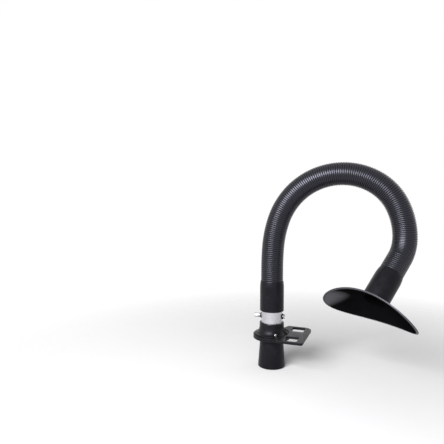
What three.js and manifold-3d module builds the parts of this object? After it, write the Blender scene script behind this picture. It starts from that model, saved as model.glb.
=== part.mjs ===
// Bench-mounted fume extraction arm.
// A stay-put ribbed hose stands on a bench bracket with a shut-off damper, and ends in an oval hood.
// Millimetres, +Z up. The origin is the middle of the bracket's bench pad, on its underside.
// +X runs from the tube over the bench. The arm loops over towards +X and its hood turns towards -Y.
import * as THREE from "three";
import { mergeVertices } from "three/addons/utils/BufferGeometryUtils.js";
import Module from "manifold-3d";

const wasm = await Module();
wasm.setup();

// Driving dimensions: fits and resolution
const FIT = 0.3; // gap between pieces that touch
const OVERRUN = 1; // how far a form that cuts or joins runs past a face
const WELD = 1e-4; // points closer than this are one point
const TURNED_SIDES = 36;
const SMALL_SIDES = 12;
const HEX_SIDES = 6;
const CORNER_STEPS = 6;

// Driving dimensions: duct tube and lower sleeve
const TUBE_OD = 60;
const TUBE_WALL = 2;
const TUBE_BELOW = 48; // below the bench plane
const TUBE_BAND = 34; // bare tube between the neck collar and the base cuff
const SLEEVE_WALL = 2.7;
const SLEEVE_MOUTH_STEP = 5.7; // how much wider the mouth's bore is than the tube's seat
const SLEEVE_MOUTH_WALL = 3;
const SLEEVE_MOUTH_DEPTH = 28.7;
const SLEEVE_CONE = 15; // height of the cone between the two bores
const SLEEVE_LIP_T = 2;
const SLEEVE_LIP_HEIGHT = 4;
const SLEEVE_LIP_STEPS = 3;

// Driving dimensions: neck collar
const FLANGE_T = 3;
const FLANGE_LEDGE = 3; // flat rim outside the flare
const FLARE_SPREAD = 11;
const FLARE_HEIGHT = 22;
const FLARE_STEPS = 8;
const NECK_WALL = 4.7;
const NECK_STRAIGHT = 8.7; // above the flare
const NECK_CHAMFER = 1;
const GUSSET_T = 8;
const GUSSET_SETBACK = 2; // from the flange's rim
const GUSSET_HEIGHT = 16;

// Driving dimensions: bracket plate
const PLATE_T = 7;
const COLLAR_INSET = 5; // from the plate's top down to the collar's seat
const COLLAR_CLEARANCE = 1; // round the flange in the plate
const PLATE_END_BORDER = 18; // windows to the far edge
const PLATE_SIDE_BORDER = 9; // windows to the side edges
const PLATE_REAR_CORNER_R = 22; // towards +Y
const PLATE_FRONT_CORNER_R = 6; // towards -Y
const SHOULDER_X = 32; // where the plate reaches its full width
const RING_BORDER = 4; // round the flange
const RING_LEAVE_DEG = 66; // where the outline leaves the ring for the shoulder
const RING_SKIRT = 9; // the ring's depth below the bench plane
const WINDOW_LENGTH = 36;
const WINDOW_WIDTH = 40;
const WINDOW_CORNER_R = 5;
const WINDOW_WEB = 53; // plate between the two windows
const WINDOW_FROM_RING = 15; // ring to the windows' middle

// Driving dimensions: fasteners
const CLAMP_ANGLE_DEG = -62;
const CLAMP_RISE = 4.8; // above the flange
const CLAMP_SHANK_R = 2.5;
const CLAMP_HEAD_R = 3.8;
const CLAMP_HEAD_H = 3;
const CLAMP_SOCKET_R = 2;
const CLAMP_SOCKET_DEPTH = 2;
const CLAMP_BOSS_R = 7;
const CLAMP_BOSS_PROUD = 11; // beyond the neck
const FLANGE_SCREW_OFFSET = 4.5; // beyond the neck
const FLANGE_SCREW_ANGLES_DEG = [6, 126, 246];
const FLANGE_SCREW_R = 2;
const FLANGE_SCREW_HEAD_R = 4;
const FLANGE_SCREW_HEAD_H = 2.2;
const FLANGE_SCREW_BITE = 4; // thread length in the collar
const FLANGE_SCREW_SLOT = 1; // width and depth

// Driving dimensions: damper
const DAMPER_RISE = 18; // spindle above the neck collar
const DISC_GAP = 0.5; // disc to the tube's bore
const DISC_T = 2;
const DISC_SCREW_X = 12;
const DISC_SCREW_R = 1.5;
const DISC_SCREW_HEAD_R = 3;
const DISC_SCREW_HEAD_H = 1.6;
const DISC_SCREW_FLOOR = 1.1; // spindle left below a screw's hole
const SPINDLE_R = 4;
const BUSH_WALL = 1.7;
const BUSH_FLANGE_RIM = 2;
const BUSH_FLANGE_T = 2.6;
const KNOB_WALL = 1.7;
const KNOB_LENGTH = 17.5;
const KNOB_FLUTES = 12;
const KNOB_FLUTE_DEPTH = 0.5;
const KNOB_CAP_T = 4; // solid outer end of the knob
const GRUB_R = 1.5;
const GRUB_INSET = 6; // from the knob's inner end
const WASHER_RIM = 1.9;
const WASHER_T = 0.8;
const NUT_RIM = 2.2;
const NUT_T = 3.2;

// Driving dimensions: ribbed hose
const ARM_TURN_DEG = 6; // the tube and the arm on it, from the plate's middle line
const HOSE_OD = 63;
const HOSE_RIB_DEPTH = 2.4;
const HOSE_WALL = 4.1; // between the bore and the valleys
const HOSE_RIB_PITCH = 5.5;
const HOSE_SIDES = 8;
const RIBS_PER_BORE_RING = 5;
const HOSE_HEAD_RUN = 34; // straight above the base cuff
const HOSE_TAIL_RUN = 51; // straight before the hood's cuff
const HOSE_ARC = 82; // length of a hose segment
const HOSE_END_ARC = 62; // length of the bent part of the first and last segments
// One row for each hose segment: arc length, bend over the top in degrees, bend towards +Y in degrees.
const HOSE_ARCS = [
  [HOSE_END_ARC, 4, 0],
  [HOSE_ARC, 14.5, 0],
  [HOSE_ARC, 24, 0],
  [HOSE_ARC, 26, 0],
  [HOSE_ARC, 26.5, 0],
  [HOSE_ARC, 28.5, -3],
  [HOSE_ARC, 32, -1],
  [HOSE_ARC, 23.5, -6],
  [HOSE_END_ARC, 26.5, -28.5],
];

// Driving dimensions: cuffs
const CUFF_LENGTH = 86;
const CUFF_WALL = 2.45;
const CUFF_GRIP = 42; // length of hose held in a cuff
const CUFF_STOP_T = 3;
const CUFF_STOP_LEDGE = 3.3; // the stop's step inside the narrower bore
const CUFF_EDGE = 1.2;
const CUFF_TAPER = 14;
const CUFF_LIP_T = 0.9; // wall left at the hose end of the taper

// Driving dimensions: hood
const HOOD_ROLL_DEG = 31; // the long axis, from the arm's plane about the hose's end
const HOOD_HALF_LENGTH = 136;
const HOOD_HALF_WIDTH = 73;
const HOOD_DEPTH = 16; // cuff to the rim at the middle of a long side
const HOOD_DROOP = 26; // how much further the rim's two ends reach
const HOOD_WALL = 2.5;
const HOOD_NECK_WALL = 3;
const HOOD_LIP = 5;
const HOOD_SIDES = 40;
const HOOD_ROWS = 7;
const HOOD_CONE_SHARE = 0.8; // straight part of the bowl's rise, the rest is a parabola

// Sizes that follow: tube, sleeve and collar
const TUBE_R = TUBE_OD / 2;
const TUBE_BORE_R = TUBE_R - TUBE_WALL;
const TUBE_SEAT_R = TUBE_R + FIT;
const SLEEVE_SEAT_Z = -TUBE_BELOW - FIT;
const SLEEVE_BOTTOM_Z = SLEEVE_SEAT_Z - SLEEVE_CONE - SLEEVE_MOUTH_DEPTH;
const SLEEVE_MOUTH_BORE_R = TUBE_SEAT_R + SLEEVE_MOUTH_STEP;
const SLEEVE_MOUTH_R = SLEEVE_MOUTH_BORE_R + SLEEVE_MOUTH_WALL;
const NECK_R = TUBE_SEAT_R + NECK_WALL;
const FLARE_R = NECK_R + FLARE_SPREAD;
const FLANGE_R = FLARE_R + FLANGE_LEDGE;
const COLLAR_SEAT_Z = PLATE_T - COLLAR_INSET;
const COLLAR_Z = COLLAR_SEAT_Z + FIT;
const FLANGE_TOP_Z = COLLAR_Z + FLANGE_T;
const NECK_TOP_Z = FLANGE_TOP_Z + FLARE_HEIGHT + NECK_STRAIGHT;
const CLAMP_Z = FLANGE_TOP_Z + CLAMP_RISE;
const CLAMP_BOSS_REACH = NECK_R + CLAMP_BOSS_PROUD;
const FLANGE_SCREW_CIRCLE_R = NECK_R + FLANGE_SCREW_OFFSET;

// Sizes that follow: plate
const RING_R = FLANGE_R + RING_BORDER;
const WINDOW_X = RING_R + WINDOW_FROM_RING; // from the tube's axis
const WINDOW_Y = (WINDOW_WEB + WINDOW_WIDTH) / 2;
const PLATE_REACH = WINDOW_X + WINDOW_LENGTH / 2 + PLATE_END_BORDER;
const PLATE_HALF_WIDTH = WINDOW_Y + WINDOW_WIDTH / 2 + PLATE_SIDE_BORDER;

// Sizes that follow: hose and cuffs
const HOSE_R = HOSE_OD / 2;
const HOSE_BORE_R = HOSE_R - HOSE_RIB_DEPTH - HOSE_WALL;
const HOSE_SEAT_R = HOSE_R + FIT;
const CUFF_R = Math.max(TUBE_SEAT_R, HOSE_SEAT_R) + CUFF_WALL;
const CUFF_STOP_R = Math.min(TUBE_SEAT_R, HOSE_SEAT_R) - CUFF_STOP_LEDGE;
const HOSE_END = CUFF_LENGTH - CUFF_GRIP; // the hose's end face, from the cuff's mouth
const CUFF_STOP_TOP = HOSE_END - FIT;
const CUFF_STOP_BOTTOM = CUFF_STOP_TOP - CUFF_STOP_T;
const TUBE_GRIP = CUFF_STOP_BOTTOM - FIT; // tube or hood neck length inside a cuff
const BASE_CUFF_Z = NECK_TOP_Z + TUBE_BAND;
const TUBE_TOP_Z = BASE_CUFF_Z + TUBE_GRIP;

// Sizes that follow: damper
const DAMPER_Z = NECK_TOP_Z + DAMPER_RISE;
const DISC_R = TUBE_BORE_R - DISC_GAP;
const SPINDLE_SEAT_R = SPINDLE_R + FIT;
const DISC_SCREW_BITE = SPINDLE_R - FIT - DISC_SCREW_FLOOR;
const BUSH_R = SPINDLE_SEAT_R + BUSH_WALL;
const BUSH_FLANGE_R = BUSH_R + BUSH_FLANGE_RIM;
const KNOB_R = SPINDLE_SEAT_R + KNOB_WALL;
const WASHER_R = SPINDLE_SEAT_R + WASHER_RIM;
const NUT_R = SPINDLE_SEAT_R + NUT_RIM;
const BUSH_SEAT_X = TUBE_R + FIT;
const BUSH_END_X = BUSH_SEAT_X + BUSH_FLANGE_T;
const WASHER_X = BUSH_END_X + FIT;
const WASHER_END_X = WASHER_X + WASHER_T;
const NUT_X = WASHER_END_X + FIT;
const NUT_END_X = NUT_X + NUT_T;
const KNOB_INNER_X = BUSH_END_X + FIT;
const KNOB_OUTER_X = KNOB_INNER_X + KNOB_LENGTH;
const SPINDLE_KNOB_END_X = KNOB_OUTER_X - KNOB_CAP_T - FIT;

// Materials
const paint = new THREE.MeshStandardMaterial({ color: 0x1b1c1f, roughness: 0.55, metalness: 0.1 });
const aluminium = new THREE.MeshStandardMaterial({ color: 0xd2d1d8, roughness: 0.35, metalness: 0.9 });
const steel = new THREE.MeshStandardMaterial({ color: 0xb9bac0, roughness: 0.3, metalness: 1 });
const rubber = new THREE.MeshStandardMaterial({ color: 0x161618, roughness: 0.75, metalness: 0 });
const hosePlastic = new THREE.MeshStandardMaterial({ color: 0x2a2a2e, roughness: 0.4, metalness: 0 });
const hoodPlastic = new THREE.MeshStandardMaterial({ color: 0x18181b, roughness: 0.45, metalness: 0 });

// Booleans on closed geometries
function solid(geometry) {
  const bare = geometry.clone();
  bare.deleteAttribute("normal");
  bare.deleteAttribute("uv");
  const merged = mergeVertices(bare, WELD);
  const vertProperties = merged.attributes.position.array;
  const triVerts = new Uint32Array(merged.index.array);
  return new wasm.Manifold(new wasm.Mesh({ numProp: 3, vertProperties, triVerts }));
}

function geometryOf(manifold) {
  const mesh = manifold.getMesh();
  const geometry = new THREE.BufferGeometry();
  geometry.setAttribute("position", new THREE.BufferAttribute(mesh.vertProperties, 3));
  geometry.setIndex(new THREE.BufferAttribute(mesh.triVerts, 1));
  geometry.computeVertexNormals();
  return geometry;
}

function cut(geometry, ...tools) {
  return geometryOf(tools.reduce((body, tool) => body.subtract(solid(tool)), solid(geometry)));
}

function join(geometry, ...others) {
  return geometryOf(others.reduce((body, other) => body.add(solid(other)), solid(geometry)));
}

// Simple forms
function part(name, geometry, material) {
  const mesh = new THREE.Mesh(geometry, material);
  mesh.name = name;
  return mesh;
}

// A turned piece about Z from a closed profile of [radius, z], anticlockwise with the radius to the right.
function turned(profile, sides = TURNED_SIDES) {
  const points = [...profile, profile[0]].map(([r, z]) => new THREE.Vector2(r, z));
  return new THREE.LatheGeometry(points, sides).rotateX(Math.PI / 2);
}

// A cylinder along Z between two heights.
function rod(radius, z0, z1, sides = SMALL_SIDES, topRadius = radius) {
  const geometry = new THREE.CylinderGeometry(topRadius, radius, z1 - z0, sides);
  return geometry.rotateX(Math.PI / 2).translate(0, 0, (z0 + z1) / 2);
}

// The same cylinder along X.
function rodX(radius, x0, x1, sides = SMALL_SIDES) {
  return rod(radius, x0, x1, sides).rotateY(Math.PI / 2);
}

function prism(shape, z0, z1) {
  const options = { depth: z1 - z0, bevelEnabled: false, curveSegments: CORNER_STEPS };
  return new THREE.ExtrudeGeometry(shape, options).translate(0, 0, z0);
}

// A point at a radius and an angle about the tube.
function around(radius, degrees) {
  const angle = THREE.MathUtils.degToRad(degrees);
  return [radius * Math.cos(angle), radius * Math.sin(angle)];
}

// Bracket plate
function windowShape(y) {
  const halfX = WINDOW_LENGTH / 2 - WINDOW_CORNER_R;
  const halfY = WINDOW_WIDTH / 2 - WINDOW_CORNER_R;
  const path = new THREE.Path();
  path.absarc(WINDOW_X + halfX, y + halfY, WINDOW_CORNER_R, 0, Math.PI / 2);
  path.absarc(WINDOW_X - halfX, y + halfY, WINDOW_CORNER_R, Math.PI / 2, Math.PI);
  path.absarc(WINDOW_X - halfX, y - halfY, WINDOW_CORNER_R, Math.PI, 1.5 * Math.PI);
  path.absarc(WINDOW_X + halfX, y - halfY, WINDOW_CORNER_R, 1.5 * Math.PI, 2 * Math.PI);
  path.closePath();
  return path;
}

function plateShape() {
  const [leaveX, leaveY] = around(RING_R, RING_LEAVE_DEG);
  const frontR = PLATE_FRONT_CORNER_R;
  const rearR = PLATE_REAR_CORNER_R;
  const shape = new THREE.Shape();
  shape.moveTo(leaveX, -leaveY);
  shape.lineTo(SHOULDER_X, -PLATE_HALF_WIDTH);
  shape.absarc(PLATE_REACH - frontR, frontR - PLATE_HALF_WIDTH, frontR, -Math.PI / 2, 0);
  shape.absarc(PLATE_REACH - rearR, PLATE_HALF_WIDTH - rearR, rearR, 0, Math.PI / 2);
  shape.lineTo(SHOULDER_X, PLATE_HALF_WIDTH);
  shape.lineTo(leaveX, leaveY);
  shape.closePath();
  shape.holes.push(windowShape(WINDOW_Y), windowShape(-WINDOW_Y));
  return shape;
}

function bracketPlate() {
  const ring = rod(RING_R, -RING_SKIRT, COLLAR_SEAT_Z, TURNED_SIDES);
  const bottom = -RING_SKIRT - OVERRUN;
  const top = PLATE_T + OVERRUN;
  const seat = rod(FLANGE_R + COLLAR_CLEARANCE, COLLAR_SEAT_Z, top, TURNED_SIDES);
  const bore = rod(TUBE_SEAT_R, bottom, top, TURNED_SIDES);
  const holeR = FLANGE_SCREW_R + FIT;
  const sinkR = FLANGE_SCREW_HEAD_R + 2 * FIT;
  const sinkTop = FLANGE_SCREW_HEAD_H + FIT - RING_SKIRT;
  const screwHoles = FLANGE_SCREW_ANGLES_DEG.flatMap((degrees) => {
    const [x, y] = around(FLANGE_SCREW_CIRCLE_R, degrees);
    const shank = rod(holeR, bottom, top);
    const sink = rod(sinkR, -RING_SKIRT - FIT, sinkTop, SMALL_SIDES, holeR);
    return [shank.translate(x, y, 0), sink.translate(x, y, 0)];
  });
  return cut(join(prism(plateShape(), 0, PLATE_T), ring), seat, bore, ...screwHoles);
}

// Neck collar: a flange, a concave flare and the clamp screw's boss
function collarProfile() {
  const flare = Array.from({ length: FLARE_STEPS + 1 }, (_, i) => {
    const angle = ((i / FLARE_STEPS) * Math.PI) / 2;
    const r = FLARE_R - (FLARE_R - NECK_R) * Math.sin(angle);
    return [r, FLANGE_TOP_Z + FLARE_HEIGHT * (1 - Math.cos(angle))];
  });
  return [
    [TUBE_SEAT_R, COLLAR_Z],
    [FLANGE_R, COLLAR_Z],
    [FLANGE_R, FLANGE_TOP_Z],
    ...flare,
    [NECK_R, NECK_TOP_Z - NECK_CHAMFER],
    [NECK_R - NECK_CHAMFER, NECK_TOP_Z],
    [TUBE_SEAT_R, NECK_TOP_Z],
  ];
}

function gusset() {
  const shape = new THREE.Shape();
  const reach = FLANGE_R - GUSSET_SETBACK;
  shape.moveTo(NECK_R - OVERRUN, FLANGE_TOP_Z - OVERRUN);
  shape.lineTo(reach, FLANGE_TOP_Z - OVERRUN);
  shape.lineTo(reach, FLANGE_TOP_Z);
  shape.lineTo(NECK_R - OVERRUN, FLANGE_TOP_Z + GUSSET_HEIGHT);
  shape.closePath();
  return prism(shape, -GUSSET_T / 2, GUSSET_T / 2).rotateX(Math.PI / 2);
}

// Turns a form along X to the clamp screw's direction and height.
function atClamp(geometry) {
  return geometry.rotateZ(THREE.MathUtils.degToRad(CLAMP_ANGLE_DEG)).translate(0, 0, CLAMP_Z);
}

function neckCollar() {
  const boss = atClamp(rodX(CLAMP_BOSS_R, TUBE_SEAT_R, CLAMP_BOSS_REACH));
  const bottom = COLLAR_Z - OVERRUN;
  const bore = rod(TUBE_SEAT_R, bottom, NECK_TOP_Z + OVERRUN, TURNED_SIDES);
  const clampHole = atClamp(rodX(CLAMP_SHANK_R + FIT, TUBE_BORE_R, CLAMP_BOSS_REACH + OVERRUN));
  const holeTop = COLLAR_Z + FLANGE_SCREW_BITE + FIT;
  const screwHoles = FLANGE_SCREW_ANGLES_DEG.map((degrees) => {
    const [x, y] = around(FLANGE_SCREW_CIRCLE_R, degrees);
    return rod(FLANGE_SCREW_R + FIT, bottom, holeTop).translate(x, y, 0);
  });
  const body = join(turned(collarProfile()), gusset(), boss);
  return cut(body, bore, clampHole, ...screwHoles);
}

function clampScrew() {
  const headStart = CLAMP_BOSS_REACH + FIT;
  const headEnd = headStart + CLAMP_HEAD_H;
  const shank = rodX(CLAMP_SHANK_R, TUBE_SEAT_R, headStart + OVERRUN);
  const head = rodX(CLAMP_HEAD_R, headStart, headEnd);
  const socket = rodX(CLAMP_SOCKET_R, headEnd - CLAMP_SOCKET_DEPTH, headEnd + OVERRUN, HEX_SIDES);
  return atClamp(cut(join(shank, head), socket));
}

function flangeScrew(degrees) {
  const [x, y] = around(FLANGE_SCREW_CIRCLE_R, degrees);
  const headTop = FLANGE_SCREW_HEAD_H - RING_SKIRT;
  const head = rod(FLANGE_SCREW_HEAD_R, -RING_SKIRT, headTop, SMALL_SIDES, FLANGE_SCREW_R);
  const shank = rod(FLANGE_SCREW_R, headTop - OVERRUN, COLLAR_Z + FLANGE_SCREW_BITE);
  const slotLength = 2 * (FLANGE_SCREW_HEAD_R + OVERRUN);
  const slot = new THREE.BoxGeometry(slotLength, FLANGE_SCREW_SLOT, 2 * FLANGE_SCREW_SLOT);
  return cut(join(head, shank), slot.translate(0, 0, -RING_SKIRT)).translate(x, y, 0);
}

function makeBracket() {
  const group = new THREE.Group();
  group.add(part("bracket_plate", bracketPlate(), paint));
  group.add(part("neck_collar", neckCollar(), paint));
  group.add(part("collar_clamp_screw", clampScrew(), steel));
  FLANGE_SCREW_ANGLES_DEG.forEach((degrees, i) => {
    group.add(part(`flange_screw_${i + 1}`, flangeScrew(degrees), steel));
  });
  return group;
}

// Duct tube and the sleeve on its lower end
function damperTube() {
  const wall = turned([
    [TUBE_BORE_R, -TUBE_BELOW],
    [TUBE_R, -TUBE_BELOW],
    [TUBE_R, TUBE_TOP_Z],
    [TUBE_BORE_R, TUBE_TOP_Z],
  ]);
  const bushHole = rodX(BUSH_R + FIT, -TUBE_OD, TUBE_OD).translate(0, 0, DAMPER_Z);
  return cut(wall, bushHole);
}

function ductSleeve() {
  const topZ = -RING_SKIRT - FIT;
  const lip = Array.from({ length: SLEEVE_LIP_STEPS + 1 }, (_, i) => {
    const angle = ((i / SLEEVE_LIP_STEPS) * Math.PI) / 2;
    const r = SLEEVE_MOUTH_R - SLEEVE_LIP_T * (1 - Math.sin(angle));
    return [r, SLEEVE_BOTTOM_Z + SLEEVE_LIP_HEIGHT * (1 - Math.cos(angle))];
  });
  return turned([
    [SLEEVE_MOUTH_BORE_R, SLEEVE_BOTTOM_Z],
    ...lip,
    [TUBE_SEAT_R + SLEEVE_WALL, topZ],
    [TUBE_SEAT_R, topZ],
    [TUBE_SEAT_R, SLEEVE_SEAT_Z],
    [SLEEVE_MOUTH_BORE_R, SLEEVE_SEAT_Z - SLEEVE_CONE],
  ]);
}

// Damper: a disc on a cross spindle, with a knob outside
function spindleBush(side) {
  const body = join(
    rodX(BUSH_R, TUBE_BORE_R, BUSH_END_X),
    rodX(BUSH_FLANGE_R, BUSH_SEAT_X, BUSH_END_X),
  );
  const bush = cut(body, rodX(SPINDLE_SEAT_R, 0, BUSH_END_X + OVERRUN));
  return side < 0 ? bush.rotateZ(Math.PI) : bush;
}

function discScrewXs() {
  return [-DISC_SCREW_X, DISC_SCREW_X];
}

// A cylinder along +Y at one of the disc's screws.
function discScrewRod(radius, x, y0, y1) {
  return rod(radius, y0, y1, SMALL_SIDES).rotateX(-Math.PI / 2).translate(x, 0, 0);
}

function spindle() {
  const bar = rodX(SPINDLE_R, -SPINDLE_KNOB_END_X, NUT_END_X);
  const flat = new THREE.BoxGeometry(2 * (DISC_R + FIT), 2 * SPINDLE_R, 4 * SPINDLE_R);
  const holeEnd = -DISC_SCREW_BITE - FIT;
  const holes = discScrewXs().map((x) => discScrewRod(DISC_SCREW_R + FIT, x, holeEnd, OVERRUN));
  return cut(bar, flat.translate(0, SPINDLE_R, 0), ...holes);
}

function damperDisc() {
  const round = rod(DISC_R, FIT, FIT + DISC_T, TURNED_SIDES).rotateX(-Math.PI / 2);
  const holeEnd = FIT + DISC_T + OVERRUN;
  const holes = discScrewXs().map((x) => discScrewRod(DISC_SCREW_R + FIT, x, FIT - OVERRUN, holeEnd));
  return cut(round, ...holes);
}

function discScrew(x) {
  const headY = DISC_T + 2 * FIT;
  const head = discScrewRod(DISC_SCREW_HEAD_R, x, headY, headY + DISC_SCREW_HEAD_H);
  return join(head, discScrewRod(DISC_SCREW_R, x, -DISC_SCREW_BITE, headY + OVERRUN));
}

function damperKnob() {
  const shape = new THREE.Shape();
  const corners = 4 * KNOB_FLUTES;
  for (let i = 0; i < corners; i++) {
    const r = i % 4 < 2 ? KNOB_R : KNOB_R - KNOB_FLUTE_DEPTH;
    const [x, y] = around(r, (i / corners) * 360);
    if (i === 0) shape.moveTo(x, y);
    else shape.lineTo(x, y);
  }
  shape.closePath();
  const body = prism(shape, -KNOB_OUTER_X, -KNOB_INNER_X).rotateY(Math.PI / 2);
  const spindleHole = rodX(SPINDLE_SEAT_R, -KNOB_OUTER_X + KNOB_CAP_T, 0);
  return cut(body, spindleHole, atGrub(rod(GRUB_R + FIT, 0, KNOB_R + OVERRUN)));
}

// Moves a form along Z to the knob's grub screw.
function atGrub(geometry) {
  return geometry.translate(-KNOB_INNER_X - GRUB_INSET, 0, 0);
}

function grubScrew() {
  return atGrub(rod(GRUB_R, SPINDLE_SEAT_R, KNOB_R - KNOB_FLUTE_DEPTH));
}

// A flat ring on the spindle.
function spindleRing(radius, x0, x1, sides) {
  return cut(rodX(radius, x0, x1, sides), rodX(SPINDLE_SEAT_R, x0 - OVERRUN, x1 + OVERRUN));
}

function makeDuct() {
  const group = new THREE.Group();
  group.add(part("damper_tube", damperTube(), aluminium));
  group.add(part("duct_sleeve", ductSleeve(), rubber));
  const damper = new THREE.Group();
  damper.position.z = DAMPER_Z;
  damper.add(part("spindle_bush_left", spindleBush(-1), paint));
  damper.add(part("spindle_bush_right", spindleBush(1), paint));
  damper.add(part("damper_spindle", spindle(), steel));
  damper.add(part("damper_disc", damperDisc(), aluminium));
  discScrewXs().forEach((x, i) => damper.add(part(`disc_screw_${i + 1}`, discScrew(x), steel)));
  damper.add(part("damper_knob", damperKnob(), steel));
  damper.add(part("knob_grub_screw", grubScrew(), steel));
  const washer = spindleRing(WASHER_R, WASHER_X, WASHER_END_X, SMALL_SIDES);
  damper.add(part("spindle_washer", washer, steel));
  damper.add(part("spindle_nut", spindleRing(NUT_R, NUT_X, NUT_END_X, HEX_SIDES), steel));
  group.add(damper);
  return group;
}

// A rubber cuff along +Z: its mouth at 0 takes a tube, and its tapered end holds the hose.
function cuff() {
  return turned([
    [TUBE_SEAT_R, 0],
    [CUFF_R - CUFF_EDGE, 0],
    [CUFF_R, CUFF_EDGE],
    [CUFF_R, CUFF_LENGTH - CUFF_TAPER],
    [HOSE_SEAT_R + CUFF_LIP_T, CUFF_LENGTH],
    [HOSE_SEAT_R, CUFF_LENGTH],
    [HOSE_SEAT_R, CUFF_STOP_TOP],
    [CUFF_STOP_R, CUFF_STOP_TOP],
    [CUFF_STOP_R, CUFF_STOP_BOTTOM],
    [TUBE_SEAT_R, CUFF_STOP_BOTTOM],
  ]);
}

// Ribbed hose
// The place and turn at a distance along a run of arcs that starts at the origin towards +Z.
function frameAt(arcs, distance) {
  const place = new THREE.Vector3();
  const turn = new THREE.Quaternion();
  let left = distance;
  for (const [length, over, side] of arcs) {
    const run = Math.min(left, length);
    const total = THREE.MathUtils.degToRad(Math.hypot(over, side));
    const towards = new THREE.Vector3(over, side, 0).normalize();
    const angle = (total * run) / length;
    const step = new THREE.Vector3(0, 0, run);
    if (total > 0) {
      const radius = length / total;
      step.set(0, 0, radius * Math.sin(angle)).addScaledVector(towards, radius * (1 - Math.cos(angle)));
    }
    place.add(step.applyQuaternion(turn));
    const axis = new THREE.Vector3(-towards.y, towards.x, 0);
    turn.multiply(new THREE.Quaternion().setFromAxisAngle(axis, angle));
    left -= run;
    if (left <= 0) break;
  }
  return { place, turn };
}

function lengthOf(arcs) {
  return arcs.reduce((sum, [length]) => sum + length, 0);
}

function ringAt(arcs, distance, radius) {
  const { place, turn } = frameAt(arcs, distance);
  return Array.from({ length: HOSE_SIDES }, (_, i) => {
    const [x, y] = around(radius, (360 * (i + 0.5)) / HOSE_SIDES);
    return new THREE.Vector3(x, y, 0).applyQuaternion(turn).add(place);
  });
}

// Skins a closed loop of rings: each ring joins the next, and the last joins the first.
function skin(rings) {
  const count = rings[0].length;
  const index = [];
  rings.forEach((_, row) => {
    const next = (row + 1) % rings.length;
    for (let i = 0; i < count; i++) {
      const j = (i + 1) % count;
      const a = row * count + i;
      const b = row * count + j;
      const c = next * count + i;
      const d = next * count + j;
      index.push(a, b, d, a, d, c);
    }
  });
  const geometry = new THREE.BufferGeometry().setFromPoints(rings.flat());
  geometry.setIndex(index);
  geometry.computeVertexNormals();
  return geometry;
}

// One hose segment: crests and valleys outside, a plain bore inside.
function hoseSegment(arcs) {
  const start = FIT / 2;
  const length = lengthOf(arcs) - FIT;
  const ribs = Math.round(length / HOSE_RIB_PITCH);
  const pitch = length / ribs;
  const rings = [ringAt(arcs, start, HOSE_R - HOSE_RIB_DEPTH)];
  for (let rib = 0; rib < ribs; rib++) {
    rings.push(ringAt(arcs, start + (rib + 0.5) * pitch, HOSE_R));
    rings.push(ringAt(arcs, start + (rib + 1) * pitch, HOSE_R - HOSE_RIB_DEPTH));
  }
  const boreRings = Math.ceil(ribs / RIBS_PER_BORE_RING);
  for (let ring = boreRings; ring >= 0; ring--) {
    rings.push(ringAt(arcs, start + (length * ring) / boreRings, HOSE_BORE_R));
  }
  return skin(rings);
}

// Each row of HOSE_ARCS with the straight runs that the two end segments hold besides.
function segmentArcs(row) {
  const arcs = [HOSE_ARCS[row]];
  if (row === 0) arcs.unshift([CUFF_GRIP + HOSE_HEAD_RUN, 0, 0]);
  if (row === HOSE_ARCS.length - 1) arcs.push([HOSE_TAIL_RUN + CUFF_GRIP, 0, 0]);
  return arcs;
}

// Oval hood: a neck that fits a cuff, a bowl and a narrow lip, along +Z with the long axis on X
function hoodRing(share, radiusStart, shift) {
  return Array.from({ length: HOOD_SIDES }, (_, i) => {
    const [c, s] = around(1, (360 * i) / HOOD_SIDES);
    const halfLength = HOOD_HALF_LENGTH - HOOD_LIP + shift;
    const halfWidth = HOOD_HALF_WIDTH - HOOD_LIP + shift;
    const rise = HOOD_CONE_SHARE * share + (1 - HOOD_CONE_SHARE) * share * share;
    const rim = HOOD_DEPTH + HOOD_DROOP * c * c;
    const x = THREE.MathUtils.lerp(radiusStart, halfLength, share) * c;
    const y = THREE.MathUtils.lerp(radiusStart, halfWidth, share) * s;
    return new THREE.Vector3(x, y, FIT + rim * rise);
  });
}

// A ring moved along Z.
function raised(ring, dz) {
  return ring.map((point) => point.clone().setZ(point.z + dz));
}

function circle(radius, z) {
  return Array.from({ length: HOOD_SIDES }, (_, i) => {
    const [x, y] = around(radius, (360 * i) / HOOD_SIDES);
    return new THREE.Vector3(x, y, z);
  });
}

function hoodShell() {
  const neckBoreR = TUBE_R - HOOD_NECK_WALL;
  const shares = Array.from({ length: HOOD_ROWS }, (_, i) => (i + 1) / HOOD_ROWS);
  const outer = shares.map((share) => hoodRing(share, TUBE_R, HOOD_WALL));
  const inner = shares.map((share) => raised(hoodRing(share, neckBoreR, 0), HOOD_WALL));
  const lipOuter = hoodRing(1, TUBE_R, HOOD_LIP);
  return skin([
    circle(TUBE_R, -TUBE_GRIP),
    circle(TUBE_R, FIT),
    ...outer,
    lipOuter,
    raised(lipOuter, HOOD_WALL),
    ...inner.reverse(),
    circle(neckBoreR, FIT + HOOD_WALL),
    circle(neckBoreR, -TUBE_GRIP),
  ]);
}

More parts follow.
